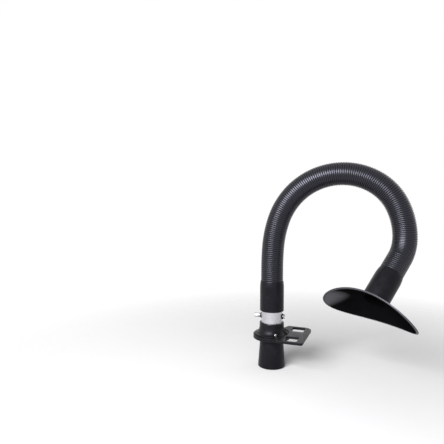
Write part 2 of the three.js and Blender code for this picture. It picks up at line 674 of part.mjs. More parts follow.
// Arm: each hose segment is carried by the one before it, up to the hood
function makeArm() {
  const base = new THREE.Group();
  base.position.z = BASE_CUFF_Z;
  base.add(part("base_cuff", cuff(), rubber));
  let carrier = new THREE.Group();
  carrier.position.z = HOSE_END;
  base.add(carrier);
  HOSE_ARCS.forEach((_, row) => {
    const arcs = segmentArcs(row);
    carrier.add(part(`hose_${row + 1}`, hoseSegment(arcs), hosePlastic));
    const end = frameAt(arcs, lengthOf(arcs));
    const next = new THREE.Group();
    next.position.copy(end.place);
    next.quaternion.copy(end.turn);
    carrier.add(next);
    carrier = next;
  });
  const hoodCuff = part("hood_cuff", cuff(), rubber);
  hoodCuff.rotation.x = Math.PI;
  hoodCuff.position.z = HOSE_END;
  carrier.add(hoodCuff);
  const hood = part("hood_shell", hoodShell(), hoodPlastic);
  hood.position.z = HOSE_END;
  hood.rotation.z = THREE.MathUtils.degToRad(HOOD_ROLL_DEG);
  carrier.add(hood);
  return base;
}

const tubeAndArm = new THREE.Group();
tubeAndArm.add(makeDuct(), makeArm());
tubeAndArm.rotation.z = THREE.MathUtils.degToRad(ARM_TURN_DEG);

const extractionArm = new THREE.Group();
extractionArm.add(makeBracket(), tubeAndArm);
extractionArm.position.x = -WINDOW_X;

export default extractionArm;
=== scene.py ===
"""The looks of a bench-mounted fume extraction arm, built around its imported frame.

Metres, +Z up. The plate lies in the XY plane and the arm bends over towards +X.
"""

import math

import bmesh
import bpy
from mathutils import Matrix, Quaternion, Vector
from mathutils.geometry import tessellate_polygon


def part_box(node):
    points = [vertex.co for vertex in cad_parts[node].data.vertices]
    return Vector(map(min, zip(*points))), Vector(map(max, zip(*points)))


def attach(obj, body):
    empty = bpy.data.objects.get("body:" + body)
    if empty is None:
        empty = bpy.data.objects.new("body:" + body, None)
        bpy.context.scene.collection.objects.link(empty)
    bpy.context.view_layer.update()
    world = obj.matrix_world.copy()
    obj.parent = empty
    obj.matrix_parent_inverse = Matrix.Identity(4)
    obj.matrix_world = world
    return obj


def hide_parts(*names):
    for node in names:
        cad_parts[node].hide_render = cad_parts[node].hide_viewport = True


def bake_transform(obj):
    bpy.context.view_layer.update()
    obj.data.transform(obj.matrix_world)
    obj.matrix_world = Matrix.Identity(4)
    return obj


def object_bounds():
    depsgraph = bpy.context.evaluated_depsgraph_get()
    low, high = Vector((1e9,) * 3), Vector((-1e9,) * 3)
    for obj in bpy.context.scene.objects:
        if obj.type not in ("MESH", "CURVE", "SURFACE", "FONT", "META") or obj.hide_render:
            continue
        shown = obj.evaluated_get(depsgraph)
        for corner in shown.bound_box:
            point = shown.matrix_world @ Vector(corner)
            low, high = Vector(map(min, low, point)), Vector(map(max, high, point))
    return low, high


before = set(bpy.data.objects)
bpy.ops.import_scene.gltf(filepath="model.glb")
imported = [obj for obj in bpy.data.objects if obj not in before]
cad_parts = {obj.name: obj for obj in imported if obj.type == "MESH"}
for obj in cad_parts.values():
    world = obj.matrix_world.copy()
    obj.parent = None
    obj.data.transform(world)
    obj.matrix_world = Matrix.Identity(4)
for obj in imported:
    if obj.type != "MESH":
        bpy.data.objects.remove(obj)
cad_low, cad_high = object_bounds()

MM = 0.001
FIT = 0.3 * MM
EDGE_CUT = 0.3  # share of an edge's rounding, half way round it
UP = Vector((0, 0, 1))

# Resolution
SIDES = 96
SMALL_SIDES = 48
HOSE_SIDES = 72
HOOD_SIDES = 180
ROUND_STEPS = 5
CORNER_STEPS = 14
SEAT_STEPS = 48
FLARE_STEPS = 24
WINDOW_STEPS = 8
MITRE_LIMIT = 0.5
SHARP_DEG = 34
WELD_DISTANCE = 1e-6
DEGENERATE_LENGTH = 1e-7

# Places that the frame gives
TUBE_LOW, TUBE_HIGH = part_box("damper_tube")
COLLAR_LOW, COLLAR_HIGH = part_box("neck_collar")
PLATE_LOW, PLATE_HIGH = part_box("bracket_plate")
SLEEVE_LOW, SLEEVE_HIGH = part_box("duct_sleeve")
CUFF_LOW, CUFF_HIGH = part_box("base_cuff")
BUSH_LOW, BUSH_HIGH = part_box("spindle_bush_right")
TUBE_X = (TUBE_LOW.x + TUBE_HIGH.x) / 2
DAMPER_Z = (BUSH_LOW.z + BUSH_HIGH.z) / 2

# The tube and the arm on it stand turned from the plate's middle line
ARM_TURN_DEG = 6
TURN = Matrix.Rotation(math.radians(ARM_TURN_DEG), 4, "Z")
TUBE_AXIS = Matrix.Translation((TUBE_X, 0, 0)) @ TURN
SPINDLE = TUBE_AXIS @ Matrix.Translation((0, 0, DAMPER_Z))
DAMPER_AXIS = SPINDLE @ Matrix.Rotation(math.radians(90), 4, "Y")
KNOB_AXIS = SPINDLE @ Matrix.Rotation(math.radians(-90), 4, "Y")
BRACKET_AXIS = Matrix.Translation((TUBE_X, 0, 0))

# Bracket plate
PLATE_T = PLATE_HIGH.z
PLATE_REAR_CORNER_R = 22 * MM
PLATE_FRONT_CORNER_R = 6 * MM
PLATE_EDGE = 1 * MM
RING_BORE_EDGE = 0.5 * MM
RING_LEAVE_DEG = 66
SEAT_R = 50 * MM
SHOULDER_X = 32 * MM
WINDOW_HALF_LENGTH = 18 * MM
WINDOW_HALF_WIDTH = 20 * MM
WINDOW_Y = 46.5 * MM
WINDOW_CORNER_R = 5 * MM

# Neck collar
FLANGE_R = COLLAR_HIGH.y
FLANGE_T = 3 * MM
FLANGE_LOW_EDGE = 0.6 * MM
FLANGE_TOP_EDGE = 0.9 * MM
FLARE_R = 46 * MM
FLARE_HEIGHT = 22 * MM
NECK_R = 35 * MM
NECK_EDGE = 1.4 * MM
NECK_BORE_EDGE = 0.5 * MM
GUSSET_T = 8 * MM
GUSSET_REACH = 47 * MM
GUSSET_HEIGHT = 16 * MM
GUSSET_TOE = 0.5 * MM
GUSSET_EDGE = 0.8 * MM
GUSSET_IN_NECK = 2 * MM
GUSSET_IN_FLANGE = 1 * MM
CLAMP_Z = COLLAR_LOW.z + 7.8 * MM
CLAMP_ANGLE_DEG = -62
CLAMP_BOSS_R = 7 * MM
CLAMP_BOSS_REACH = 46 * MM
CLAMP_BOSS_IN_NECK = 3 * MM
CLAMP_BOSS_SPREAD = 0.6 * MM
CLAMP_BOSS_WAIST = 0.55  # share of the boss's height
CLAMP_BOSS_WAIST_EDGE = 3 * MM
CLAMP_BOSS_EDGE = 1.2 * MM
CLAMP_SEAT_R = 2.6 * MM
CLAMP_HEAD_R = 3.8 * MM
CLAMP_HEAD_H = 3 * MM
CLAMP_HEAD_EDGE = 0.5 * MM
CLAMP_HEAD_BEVEL = (0.8 * MM, 0.7 * MM)  # inwards and down
CLAMP_HEAD_SIDES = 96
CLAMP_SOCKET_R = 2 * MM
CLAMP_SOCKET_DEPTH = 2 * MM
KNURLS = 24
KNURL_SHARE = 0.025

# Tube, sleeve and damper
TUBE_R = 30 * MM
TUBE_WALL = 2 * MM
TUBE_EDGE = 0.6 * MM
TUBE_BORE_EDGE = 0.4 * MM
TUBE_SIDES = 192
SLEEVE_WALL = 2.7 * MM
SLEEVE_MOUTH_R = 39 * MM
SLEEVE_MOUTH_WALL = 3 * MM
SLEEVE_CONE = 15 * MM
SLEEVE_TOP_EDGE = 1 * MM
SLEEVE_MOUTH_EDGE = 2 * MM
SLEEVE_MOUTH_BORE_EDGE = 0.5 * MM
SLEEVE_CONE_EDGE = 2 * MM
SPINDLE_R = 4 * MM
BUSH_R = 6 * MM
BUSH_FLANGE_R = 8 * MM
BUSH_END = 32.9 * MM
BUSH_EDGE = 0.7 * MM
BUSH_SINK = 0.2 * MM
KNOB_R = 6 * MM
KNOB_START = 33.2 * MM
KNOB_END = 50.7 * MM
KNOB_CAP_T = 4 * MM
# Plain rings at the knob's root and tip: inset from its radius, distance from that end
KNOB_ROOT_RINGS = ((1.1 * MM, 0), (0.5 * MM, 0.5 * MM), (0.5 * MM, 2.2 * MM))
KNOB_TIP_RINGS = ((0.9 * MM, 0.4 * MM), (1.5 * MM, 0))
KNOB_FLUTES = 12
KNOB_FLUTE_DEPTH = 0.5 * MM
KNOB_FLUTE_SIDES = 8
KNOB_FLUTE_ENDS = (2.6 * MM, 1.4 * MM)  # from the root and from the tip
KNOB_DIMPLE_R = (2 * MM, 1.2 * MM)
KNOB_DIMPLE_DEPTH = 0.5 * MM
WASHER_R = 6.2 * MM
WASHER_EDGE = 0.2 * MM
WASHER_SPAN = (33.2 * MM, 34 * MM)
NUT_R = 6.5 * MM
NUT_SPAN = (34.3 * MM, 37.5 * MM)
NUT_END_SHARE = 0.9  # of the radius, on its two end faces
NUT_CHAMFER = 0.5 * MM
NUT_BORE_CHAMFER = 0.4 * MM

# Cuffs
CUFF_LENGTH = CUFF_HIGH.z - CUFF_LOW.z
CUFF_R = 34.25 * MM
CUFF_GRIP = 42 * MM
CUFF_TAPER = 14 * MM
CUFF_LIP_T = 0.9 * MM
CUFF_STOP_T = 3 * MM
CUFF_STOP_R = 27 * MM
CUFF_FOOT_EDGE = 1.6 * MM
CUFF_FOOT_BORE_EDGE = 0.6 * MM
CUFF_SHOULDER = 5 * MM
CUFF_LIP_EDGE = 0.5 * MM
CUFF_LIP_BORE_EDGE = 0.2 * MM
HOSE_END = CUFF_LENGTH - CUFF_GRIP

# Ribbed hose
HOSE_R = 31.5 * MM
HOSE_RIB_DEPTH = 2.4 * MM
HOSE_BORE_R = 25 * MM
HOSE_RIBS = 158
# Shares of the pitch, from a groove's floor
RIB_STATIONS = (0, 0.05, 0.1, 0.14, 0.3, 0.5, 0.7, 0.86, 0.9, 0.95)
RIB_GROOVE = 0.24  # share of the pitch
RIB_SAG = 0.07  # how far a crest's edges lie below its middle, as a share of the rib's depth
HOSE_HEAD_RUN = 34 * MM
HOSE_TAIL_RUN = 51 * MM
ARC = 82 * MM
END_ARC = 62 * MM
# One row for each segment: arc length, bend over the top in degrees, bend towards +Y in degrees.
HOSE_ARCS = [
    (END_ARC, 4, 0),
    (ARC, 14.5, 0),
    (ARC, 24, 0),
    (ARC, 26, 0),
    (ARC, 26.5, 0),
    (ARC, 28.5, -3),
    (ARC, 32, -1),
    (ARC, 23.5, -6),
    (END_ARC, 26.5, -28.5),
]
# Stiff stretch at a bend's ends, over the length by which its end ring leans in; its ends are worked
# out but not used
BEND_STIFF = 0.5

# Hood
HOOD_ROLL_DEG = 31
HOOD_HALF_LENGTH = 136 * MM
HOOD_HALF_WIDTH = 73 * MM
HOOD_DEPTH = 16 * MM
HOOD_DROOP = 26 * MM
HOOD_WALL = 2.5 * MM
HOOD_NECK_WALL = 3 * MM
HOOD_LIP = 5 * MM
HOOD_LIP_ROUND = 0.9 * MM
HOOD_ROWS = 28
HOOD_CONE_SHARE = 0.8
# The painted sheen patch at one end inside the bowl, in shares of the half length and half width
HOOD_SHEEN_SPAN = (0.38, 0.82)
HOOD_SHEEN_BOW = 1.3
HOOD_SHEEN_SIDE = -0.38
HOOD_SHEEN_OUTSIDE = 0.3

# Camera and stage
CAMERA_PLACE = Vector((0.27677, -1.29988, 0.4162))
CAMERA_PITCH_DEG = 86.11
CAMERA_YAW_DEG = 21
CAMERA_LENS = 38.1
CAMERA_SENSOR = 36
FLOOR_SIZE = 6
FLOOR_MIDDLE = (0.12, 0, 0)
FLOOR_FADE = (0.3, 1.1)
FLOOR_GAP = 0.5 * MM
FLOOR_ROUGHNESS = 0.8
FLOOR_COLOURS = ((0.79, 0.79, 0.8), (0.81, 0.81, 0.815))
FLOOR_MOTTLE = 3
LAMP_TARGET = (0.1, 0, 0.3)
# One row for each lamp: name, place, size, power in watts
LAMPS = (
    ("key", (-0.45, -1.8, 1.2), (1.6, 1.0), 80),
    ("fill", (1.6, 1.4, 1.1), (1.4, 1.4), 5),
)
WORLD_LIGHT = 0.3
WORLD_SEEN = 1


# Shapes
def skin(rings, closed=True):
    """Joins rings of equal count by faces, and the last to the first if closed."""
    count = len(rings[0])
    rows = len(rings) if closed else len(rings) - 1
    faces = []
    for row in range(rows):
        a = row * count
        b = (row + 1) % len(rings) * count
        for i in range(count):
            j = (i + 1) % count
            faces.append((a + i, a + j, b + j, b + i))
    return [point for ring in rings for point in ring], faces


def circle(radius, z, sides=SIDES, shape=None):
    """A ring about Z. shape gives the radius at an angle where it isn't a plain circle."""
    ring = []
    for i in range(sides):
        angle = 2 * math.pi * i / sides
        r = shape(radius, angle) if shape else radius
        ring.append(Vector((r * math.cos(angle), r * math.sin(angle), z)))
    return ring


def turned(profile, sides=SIDES, shape=None):
    """A turned shell from a closed profile of (radius, z), anticlockwise."""
    return skin([circle(r, z, sides, shape) for r, z in profile])


def rounded(corners):
    """A closed profile in which a corner (r, z, reach) is rounded off over that reach."""
    points = []
    for i, (r, z, reach) in enumerate(corners):
        here = Vector((r, z))
        if not reach:
            points.append((r, z))
            continue
        before = Vector(corners[i - 1][:2])
        after = Vector(corners[(i + 1) % len(corners)][:2])
        start = here + (before - here).normalized() * reach
        end = here + (after - here).normalized() * reach
        for step in range(ROUND_STEPS + 1):
            t = step / ROUND_STEPS
            point = start * (1 - t) ** 2 + here * (2 * t * (1 - t)) + end * t**2
            points.append((max(point.x, 0), point.y))
    return points


def placed(shell, matrix):
    points, faces = shell
    return [matrix @ point for point in points], faces


def wave(angle):
    """A cosine between 0 and 1."""
    return 0.5 + 0.5 * math.cos(angle)


def arc(x, y, radius, start_deg, end_deg, steps=CORNER_STEPS):
    points = []
    for i in range(steps + 1):
        angle = math.radians(start_deg + (end_deg - start_deg) * i / steps)
        points.append(Vector((x + radius * math.cos(angle), y + radius * math.sin(angle))))
    return points


def inset(loop, distance):
    """The outline moved to its left by a distance."""
    moved = []
    for i, here in enumerate(loop):
        ahead = (loop[(i + 1) % len(loop)] - here).normalized()
        back = (here - loop[i - 1]).normalized()
        normal = Vector((-ahead.y - back.y, ahead.x + back.x)).normalized()
        lean = max(normal.dot(Vector((-ahead.y, ahead.x))), MITRE_LIMIT)
        moved.append(here + normal * (distance / lean))
    return moved


def slab(loops, z0, z1, edge):
    """A plate with rounded edges from an anticlockwise outline and clockwise holes."""
    quarter = [i / ROUND_STEPS * math.pi / 2 for i in range(ROUND_STEPS + 1)]
    levels = [(edge * (1 - math.sin(a)), z0 + edge * (1 - math.cos(a))) for a in quarter]
    levels += [(edge * (1 - math.cos(a)), z1 - edge * (1 - math.sin(a))) for a in quarter]
    points = []
    faces = []
    ends = []
    for loop in loops:
        rings = [[p.to_3d() + UP * z for p in inset(loop, d)] for d, z in levels]
        wall_points, wall_faces = skin(rings, closed=False)
        start = len(points)
        last = start + len(wall_points) - len(loop)
        ends.append(((start, rings[0]), (last, rings[-1])))
        points += wall_points
        faces += [tuple(start + i for i in face) for face in wall_faces]
    for caps, flip in zip(zip(*ends), (True, False)):
        index = [first + i for first, ring in caps for i in range(len(ring))]
        for face in tessellate_polygon([ring for _, ring in caps]):
            a, b, c = (points[index[i]] for i in face)
            down = (b - a).cross(c - a).z < 0
            corners = [index[i] for i in face]
            faces.append(tuple(reversed(corners)) if down != flip else tuple(corners))
    return points, faces


# Pieces
def weld(mesh):
    work = bmesh.new()
    work.from_mesh(mesh)
    bmesh.ops.remove_doubles(work, verts=work.verts, dist=WELD_DISTANCE)
    bmesh.ops.dissolve_degenerate(work, edges=work.edges, dist=DEGENERATE_LENGTH)
    work.to_mesh(mesh)
    work.free()


def piece(name, shells, material, body, nodes):
    """One object from shells, in place of CAD nodes. A piece given no body, such as a hose bend, is
    left unattached.
    """
    points = []
    faces = []
    for shell_points, shell_faces in shells:
        start = len(points)
        points += shell_points
        faces += [tuple(start + i for i in face) for face in shell_faces]
    mesh = bpy.data.meshes.new(name)
    mesh.from_pydata(points, [], faces)
    weld(mesh)
    mesh.shade_smooth()
    mesh.set_sharp_from_angle(angle=math.radians(SHARP_DEG))
    mesh.materials.append(material)
    obj = bpy.data.objects.new(name, mesh)
    bpy.context.scene.collection.objects.link(obj)
    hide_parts(*nodes)
    if body:
        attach(obj, body)
    return obj


# Materials
WHITE = (1, 1, 1)
BLUE_GLOSS = (0.82, 0.83, 1)
NOISE_SPAN = (0.3, 0.7)  # where most of a noise texture's values lie
EDGE_POINTINESS = (0.53, 0.62)
# Sockets of a Mix node that mixes colours
MIX_A = 6
MIX_B = 7
MIX_RESULT = 2


class Look:
    """A material with a Principled shader, and short ways to add its nodes."""

    def __init__(self, name, metallic, specular, gloss=WHITE):
        self.material = bpy.data.materials.new(name)
        self.material.use_nodes = True
        self.tree = self.material.node_tree
        self.shader = self.tree.nodes["Principled BSDF"]
        self.shader.inputs["Metallic"].default_value = metallic
        self.shader.inputs["Specular IOR Level"].default_value = specular
        self.shader.inputs["Specular Tint"].default_value = (*gloss, 1)
        self.coordinates = self.add("ShaderNodeTexCoord").outputs["Object"]

    def add(self, kind, **inputs):
        node = self.tree.nodes.new(kind)
        for name, value in inputs.items():
            node.inputs[name].default_value = value
        return node

    def link(self, output, target):
        self.tree.links.new(output, target)

    def noise(self, scale, detail=3.0, stretch=None):
        node = self.add("ShaderNodeTexNoise", Scale=scale, Detail=detail)
        source = self.coordinates
        if stretch:
            mapping = self.add("ShaderNodeMapping", Scale=stretch)
            self.link(source, mapping.inputs["Vector"])
            source = mapping.outputs["Vector"]
        self.link(source, node.inputs["Vector"])
        return node.outputs["Fac"]

    def attribute(self, name):
        node = self.add("ShaderNodeAttribute")
        node.attribute_name = name
        return node.outputs["Fac"]

    def ramp(self, noise, dark, light):
        """A colour that follows a noise from dark to light."""
        node = self.add("ShaderNodeValToRGB")
        for element, position, colour in zip(node.color_ramp.elements, NOISE_SPAN, (dark, light)):
            element.position = position
            element.color = (*colour, 1)
        self.link(noise, node.inputs["Fac"])
        return node.outputs["Color"]

    def spread(self, source, low, high, source_low=NOISE_SPAN[0], source_high=NOISE_SPAN[1]):
        """A value between low and high that follows the source between its own two values."""
        sockets = {"From Min": source_low, "From Max": source_high, "To Min": low, "To Max": high}
        node = self.add("ShaderNodeMapRange", **sockets)
        self.link(source, node.inputs["Value"])
        return node.outputs["Result"]

    def over(self, factor, base, top):
        """One colour laid over another by a factor."""
        node = self.add("ShaderNodeMix")
        node.data_type = "RGBA"
        self.link(factor, node.inputs["Factor"])
        self.link(base, node.inputs[MIX_A])
        node.inputs[MIX_B].default_value = (*top, 1)
        return node.outputs[MIX_RESULT]

    def both(self, first, second):
        """The product of two factors."""
        node = self.add("ShaderNodeMath")
        node.operation = "MULTIPLY"
        self.link(first, node.inputs[0])
        self.link(second, node.inputs[1])
        return node.outputs["Value"]

    def colour(self, output):
        self.link(output, self.shader.inputs["Base Color"])

    def mottle(self, scale, dark, light):
        return self.ramp(self.noise(scale), dark, light)

    def roughness(self, output):
        self.link(output, self.shader.inputs["Roughness"])

    def specular(self, output):
        self.link(output, self.shader.inputs["Specular IOR Level"])

    def bump(self, output, height):
        node = self.add("ShaderNodeBump", Strength=1, Distance=height)
        self.link(output, node.inputs["Height"])
        self.link(node.outputs["Normal"], self.shader.inputs["Normal"])

    def fade(self, middle, span):
        """Thins out with the distance from a place, from solid to clear over a span."""
        distance = self.add("ShaderNodeVectorMath")
        distance.operation = "DISTANCE"
        self.link(self.coordinates, distance.inputs[0])
        distance.inputs[1].default_value = middle
        solid = self.spread(distance.outputs["Value"], 1, 0, *span)
        self.link(solid, self.shader.inputs["Alpha"])

    def edges(self):
        """High on sharp outer edges, where a painted highlight is laid."""
        geometry = self.add("ShaderNodeNewGeometry")
        return self.spread(geometry.outputs["Pointiness"], 0, 1, *EDGE_POINTINESS)


def paint_look():
    look = Look("black_paint", 0, 0.15, BLUE_GLOSS)
    look.colour(look.mottle(60, (0.005, 0.005, 0.0055), (0.009, 0.009, 0.01)))
    look.roughness(look.spread(look.noise(90), 0.3, 0.42))
    look.bump(look.noise(1500, 2), 0.06 * MM)
    return look.material


def moulding_look():
    look = Look("black_moulding", 0, 0.3)
    look.colour(look.mottle(120, (0.008, 0.008, 0.009), (0.013, 0.013, 0.014)))
    look.roughness(look.spread(look.noise(200), 0.5, 0.62))
    look.bump(look.noise(2500, 2), 0.03 * MM)
    return look.material


def aluminium_look():
    """Turned tube: fine rings round the axis and a soft mottle."""
    look = Look("bare_aluminium", 1, 0.5)
    rings = look.noise(1, 4, (8, 8, 1600))
    look.colour(look.ramp(rings, (0.47, 0.465, 0.5), (0.6, 0.595, 0.63)))
    look.roughness(look.spread(look.noise(40), 0.22, 0.3))
    look.bump(rings, 0.015 * MM)
    return look.material


def steel_look():
    look = Look("bright_steel", 1, 0.5)
    look.colour(look.mottle(300, (0.42, 0.42, 0.44), (0.56, 0.56, 0.57)))
    look.roughness(look.spread(look.noise(500), 0.2, 0.34))
    look.bump(look.noise(1, 3, (4000, 900, 900)), 0.02 * MM)
    return look.material


def rubber_look():
    """Moulded rubber: dull, with a fine grain and a trace of dust."""
    look = Look("cuff_rubber", 0, 0.15, BLUE_GLOSS)
    base = look.mottle(25, (0.004, 0.004, 0.005), (0.006, 0.006, 0.0075))
    dust = look.spread(look.noise(70, 5), 0, 0.5, 0.5, 0.8)
    look.colour(look.over(dust, base, (0.014, 0.014, 0.016)))
    look.roughness(look.spread(look.noise(50), 0.28, 0.38))
    look.bump(look.noise(1800, 2), 0.03 * MM)
    return look.material


def hose_look():
    """Corrugated plastic: glossier crests, dull valleys, and painted shade that darkens the grooves.
    """
    look = Look("hose_plastic", 0, 0.35, BLUE_GLOSS)
    crest = look.attribute("crest")
    base = look.mottle(30, (0.002, 0.002, 0.003), (0.0035, 0.0035, 0.005))
    # Painted shade: the colour darkens towards the grooves' floors.
    look.colour(look.over(look.spread(crest, 0.6, 0, 0, 0.5), base, (0.0015, 0.0015, 0.0018)))
    look.roughness(look.spread(crest, 0.5, 0.3, 0, 0.9))
    look.specular(look.spread(crest, 0.05, 0.52, 0, 0.8))
    look.bump(look.noise(900, 3), 0.012 * MM)
    return look.material


def hood_look():
    """Moulded plastic with a fine grain; dull inside the bowl except for a painted sheen on a patch at
    one end, with painted highlights on the lip and sharp edges.
    """
    look = Look("hood_plastic", 0, 0.5, BLUE_GLOSS)
    base = look.mottle(18, (0.003, 0.003, 0.0035), (0.005, 0.005, 0.0055))
    sheen = look.attribute("sheen")
    # Painted sheen: the base colour turns lighter where the sheen attribute is high.
    sheen_painted_base = look.over(sheen, base, (0.025, 0.025, 0.027))
    # Painted highlight: lighter still on sharp edges where the sheen attribute is high, above all on
    # the lip.
    look.colour(look.over(look.both(look.edges(), sheen), sheen_painted_base, (0.06, 0.06, 0.063)))
    look.roughness(look.spread(look.noise(40), 0.36, 0.48))
    look.specular(look.spread(sheen, 0, 0.9, 0, 1))
    look.bump(look.noise(1400, 2), 0.04 * MM)
    return look.material


PAINT = paint_look()
MOULDING = moulding_look()
ALUMINIUM = aluminium_look()
STEEL = steel_look()
RUBBER = rubber_look()
HOSE = hose_look()
HOOD = hood_look()


# Bracket
def window(y):
    half_x = WINDOW_HALF_LENGTH - WINDOW_CORNER_R
    half_y = WINDOW_HALF_WIDTH - WINDOW_CORNER_R
    loop = []
    corners = ((half_x, half_y), (-half_x, half_y), (-half_x, -half_y), (half_x, -half_y))
    for quarter, (corner_x, corner_y) in enumerate(corners):
        start = 90 * quarter
        loop += arc(corner_x, y + corner_y, WINDOW_CORNER_R, start, start + 90, WINDOW_STEPS)
    return loop[::-1]


def make_plate():
    ring_r = TUBE_X - PLATE_LOW.x
    front_r = PLATE_FRONT_CORNER_R
    rear_r = PLATE_REAR_CORNER_R
    shoulder_x = TUBE_X + SHOULDER_X
    leave_x = ring_r * math.cos(math.radians(RING_LEAVE_DEG))
    leave_y = ring_r * math.sin(math.radians(RING_LEAVE_DEG))
    seat_deg = math.degrees(math.acos(leave_x / SEAT_R))
    outline = arc(TUBE_X, 0, SEAT_R, seat_deg, -seat_deg, SEAT_STEPS)
    outline.append(Vector((TUBE_X + leave_x, -leave_y)))
    outline.append(Vector((shoulder_x, -PLATE_HIGH.y)))
    outline += arc(PLATE_HIGH.x - front_r, front_r - PLATE_HIGH.y, front_r, -90, 0)
    outline += arc(PLATE_HIGH.x - rear_r, PLATE_HIGH.y - rear_r, rear_r, 0, 90)
    outline.append(Vector((shoulder_x, PLATE_HIGH.y)))
    outline.append(Vector((TUBE_X + leave_x, leave_y)))
    plate = slab([outline, window(WINDOW_Y), window(-WINDOW_Y)], 0, PLATE_T, PLATE_EDGE)
    ring_top = COLLAR_LOW.z - FIT
    ring = turned(rounded([
        (TUBE_R + FIT, PLATE_LOW.z, RING_BORE_EDGE),
        (ring_r, PLATE_LOW.z, PLATE_EDGE),
        (ring_r, ring_top, PLATE_EDGE),
        (TUBE_R + FIT, ring_top, 0),
    ]))
    shells = [plate, placed(ring, BRACKET_AXIS)]
    piece("bracket_plate_dressed", shells, PAINT, "bracket", ["bracket_plate"])


def clamp_axis(distance):
    """Z runs outwards along the clamp screw, from a distance off the tube's axis."""
    turn = Matrix.Rotation(math.radians(CLAMP_ANGLE_DEG), 4, "Z")
    tip = Matrix.Rotation(math.radians(90), 4, "Y")
    return Matrix.Translation((TUBE_X, 0, CLAMP_Z)) @ turn @ tip @ Matrix.Translation((0, 0, distance))


def make_collar():
    flange_top = COLLAR_LOW.z + FLANGE_T
    flare = []
    for i in range(FLARE_STEPS + 1):
        angle = i / FLARE_STEPS * math.pi / 2
        r = FLARE_R - (FLARE_R - NECK_R) * math.sin(angle)
        flare.append((r, flange_top + FLARE_HEIGHT * (1 - math.cos(angle)), 0))
    body = turned(rounded([
        (TUBE_R + FIT, COLLAR_LOW.z, 0),
        (FLANGE_R, COLLAR_LOW.z, FLANGE_LOW_EDGE),
        (FLANGE_R, flange_top, FLANGE_TOP_EDGE),
        *flare,
        (NECK_R, COLLAR_HIGH.z, NECK_EDGE),
        (TUBE_R + FIT, COLLAR_HIGH.z, NECK_BORE_EDGE),
    ]))
    boss_root = NECK_R - CLAMP_BOSS_IN_NECK
    boss_height = CLAMP_BOSS_REACH - boss_root
    boss = turned(rounded([
        (0, 0, 0),
        (CLAMP_BOSS_R + CLAMP_BOSS_SPREAD, 0, 0),
        (CLAMP_BOSS_R, boss_height * CLAMP_BOSS_WAIST, CLAMP_BOSS_WAIST_EDGE),
        (CLAMP_BOSS_R, boss_height, CLAMP_BOSS_EDGE),
        (CLAMP_SEAT_R, boss_height, 0),
        (0, boss_height, 0),
    ]), SMALL_SIDES)
    half = GUSSET_T / 2
    root_x = NECK_R - GUSSET_IN_NECK
    foot = GUSSET_IN_FLANGE - flange_top
    side = [
        Vector((GUSSET_REACH, foot)),
        Vector((GUSSET_REACH, -flange_top - GUSSET_TOE)),
        Vector((root_x, -flange_top - GUSSET_HEIGHT)),
        Vector((root_x, foot)),
    ]
    gusset = slab([side], -half, half, GUSSET_EDGE)
    stand = BRACKET_AXIS @ Matrix.Rotation(math.radians(-90), 4, "X")
    shells = [
        placed(body, BRACKET_AXIS),
        placed(boss, clamp_axis(boss_root)),
        placed(gusset, stand),
    ]
    piece("neck_collar_dressed", shells, PAINT, "bracket", ["neck_collar"])


def hexagon(radius, angle):
    sixth = math.pi / 3
    return radius * math.cos(sixth / 2) / math.cos((angle % sixth) - sixth / 2)


def knurl(radius, angle):
    return radius * (1 - KNURL_SHARE * wave(KNURLS * angle))


def make_clamp_screw():
    top = CLAMP_HEAD_H
    floor = top - CLAMP_SOCKET_DEPTH
    bevel_in, bevel_down = CLAMP_HEAD_BEVEL
    rows = (
        (0, 0, None),
        (CLAMP_HEAD_R - CLAMP_HEAD_EDGE, 0, knurl),
        (CLAMP_HEAD_R, CLAMP_HEAD_EDGE, knurl),
        (CLAMP_HEAD_R, top - bevel_down, knurl),
        (CLAMP_HEAD_R - bevel_in, top, None),
        (CLAMP_SOCKET_R, top, hexagon),
        (CLAMP_SOCKET_R, floor, hexagon),
        (0, floor, None),
    )
    rings = [circle(r, z, CLAMP_HEAD_SIDES, shape) for r, z, shape in rows]
    shells = [placed(skin(rings, closed=False), clamp_axis(CLAMP_BOSS_REACH + FIT))]
    piece("clamp_screw_dressed", shells, STEEL, "bracket", ["collar_clamp_screw"])


# Tube, sleeve and damper
def make_tube():
    inner = TUBE_R - TUBE_WALL
    wall = turned(rounded([
        (inner, TUBE_LOW.z, TUBE_BORE_EDGE),
        (TUBE_R, TUBE_LOW.z, TUBE_EDGE),
        (TUBE_R, TUBE_HIGH.z, TUBE_EDGE),
        (inner, TUBE_HIGH.z, TUBE_BORE_EDGE),
    ]), TUBE_SIDES)
    shells = [placed(wall, TUBE_AXIS)]
    piece("damper_tube_dressed", shells, ALUMINIUM, "bracket", ["damper_tube"])


def make_sleeve():
    mouth_bore = SLEEVE_MOUTH_R - SLEEVE_MOUTH_WALL
    seat_r = TUBE_R + FIT
    seat_z = TUBE_LOW.z - FIT
    wall = turned(rounded([
        (mouth_bore, SLEEVE_LOW.z, SLEEVE_MOUTH_BORE_EDGE),
        (SLEEVE_MOUTH_R, SLEEVE_LOW.z, SLEEVE_MOUTH_EDGE),
        (seat_r + SLEEVE_WALL, SLEEVE_HIGH.z, SLEEVE_TOP_EDGE),
        (seat_r, SLEEVE_HIGH.z, 0),
        (seat_r, seat_z, 0),
        (mouth_bore, seat_z - SLEEVE_CONE, SLEEVE_CONE_EDGE),
    ]))
    shells = [placed(wall, TUBE_AXIS)]
    piece("duct_sleeve_dressed", shells, RUBBER, "bracket", ["duct_sleeve"])


def bush_ring(radius, lift, on_tube):
    """A ring of the bush about the spindle, at a height over the tube's skin or over its axis."""
    ring = circle(radius, 0, SMALL_SIDES)
    for point in ring:
        skin_height = math.sqrt((TUBE_R + FIT) ** 2 - point.y**2)
        point.z = lift + (skin_height if on_tube else 0)
    return ring


